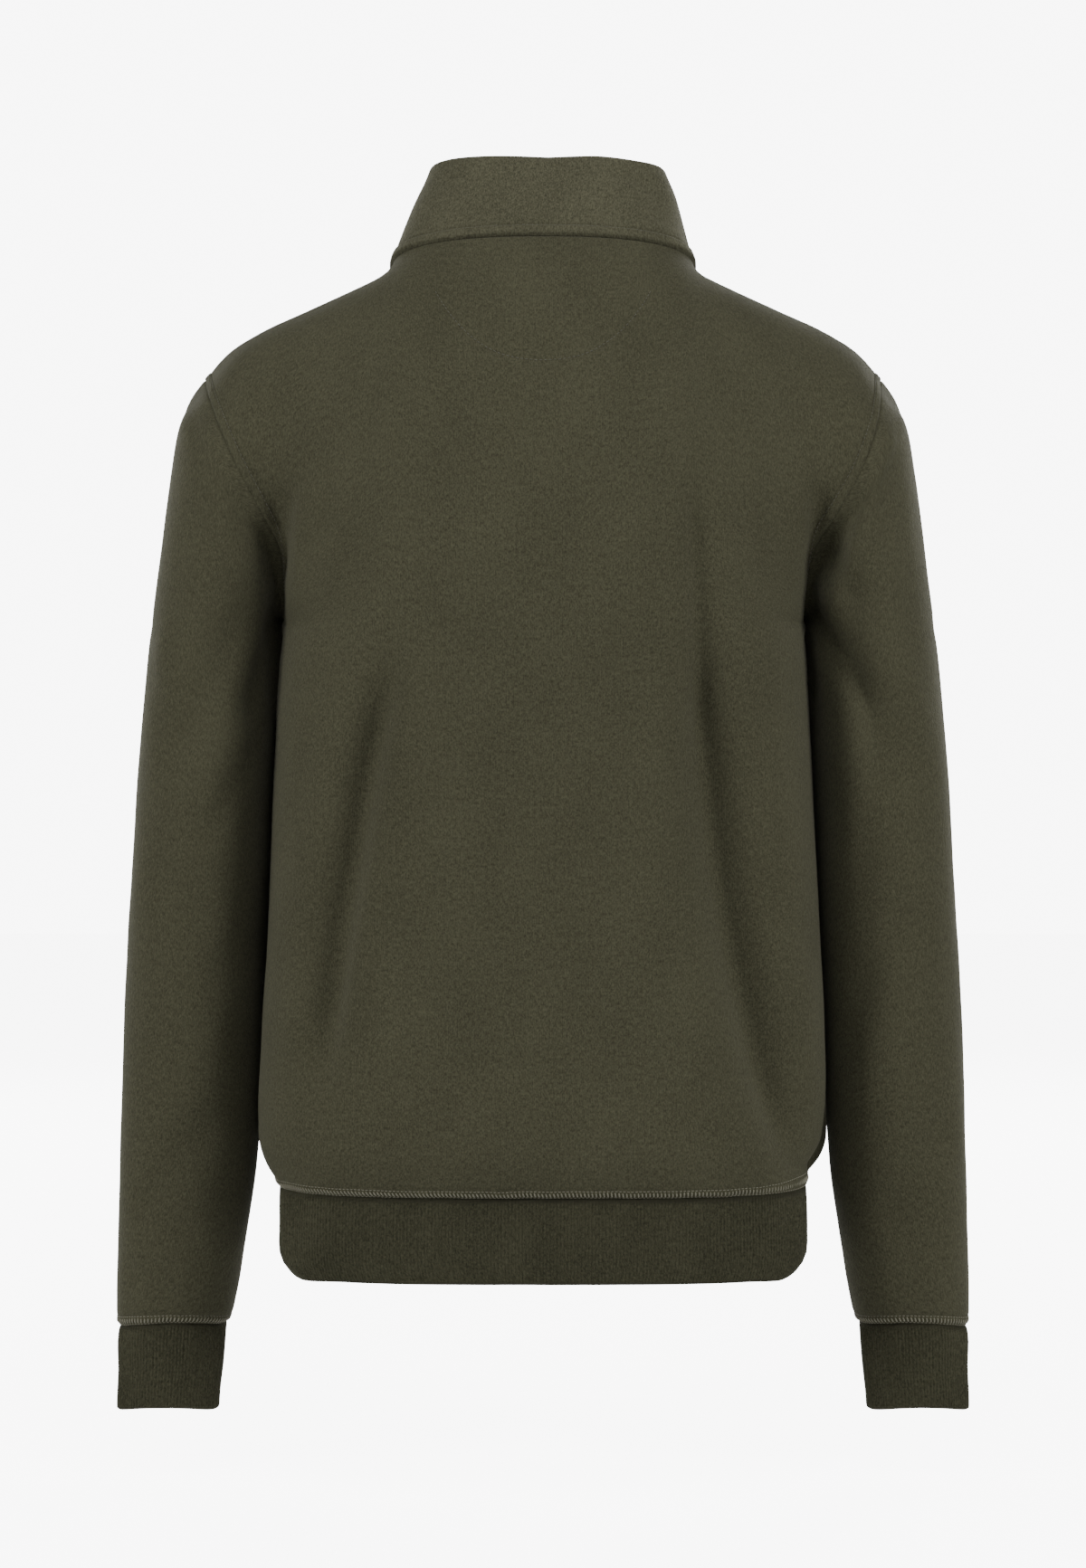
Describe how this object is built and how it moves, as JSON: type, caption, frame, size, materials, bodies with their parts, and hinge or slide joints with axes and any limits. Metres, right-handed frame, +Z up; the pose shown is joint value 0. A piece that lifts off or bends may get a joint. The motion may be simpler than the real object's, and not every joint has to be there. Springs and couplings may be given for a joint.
{
  "type": "quarter zip sweatshirt",
  "caption": "Long-sleeved quarter zip sweatshirt with a stand collar, rib cuffs and rib hem, filled out and hollow as if worn, with a swinging zip pull.",
  "frame": {"origin": "middle of the neck's base at the height of the points where the shoulder seams meet the collar", "axes": "+Z up, +X towards the wearer's left, the front with its zip faces -Y"},
  "size_m": [0.5704, 0.239, 0.8202],
  "materials": {
    "olive_sweatshirt_cloth": "brushed cotton sweatshirt cloth, matt with a short nap",
    "olive_rib": "fine knitted rib, matt",
    "zip_tape_cloth": "woven tape, matt",
    "dark_zip_metal": "dark antique metal, satin"
  },
  "bodies": {
    "garment": {"back": "olive_sweatshirt_cloth", "front": "olive_sweatshirt_cloth", "collar": "olive_sweatshirt_cloth", "hem_rib": "olive_rib", "sleeve_left": "olive_sweatshirt_cloth", "sleeve_right": "olive_sweatshirt_cloth", "cuff_left": "olive_rib", "cuff_right": "olive_rib", "neck_patch": "olive_sweatshirt_cloth", "zip_tape_left": "zip_tape_cloth", "zip_tape_right": "zip_tape_cloth", "zip_chain": "dark_zip_metal", "zip_bottom_stop": "dark_zip_metal", "zip_top_stop_left": "dark_zip_metal", "zip_top_stop_right": "dark_zip_metal", "zip_slider": "dark_zip_metal"},
    "pull_tab": {"zip_pull_tab": "dark_zip_metal"}
  },
  "joints": [
    {"name": "pull_tab_swing", "type": "hinge", "parent": "garment", "child": "pull_tab", "pos_m": [0, -0.0675, 0.0089], "axis": [-1, 0, 0], "range_deg": [0, 165]}
  ]
}
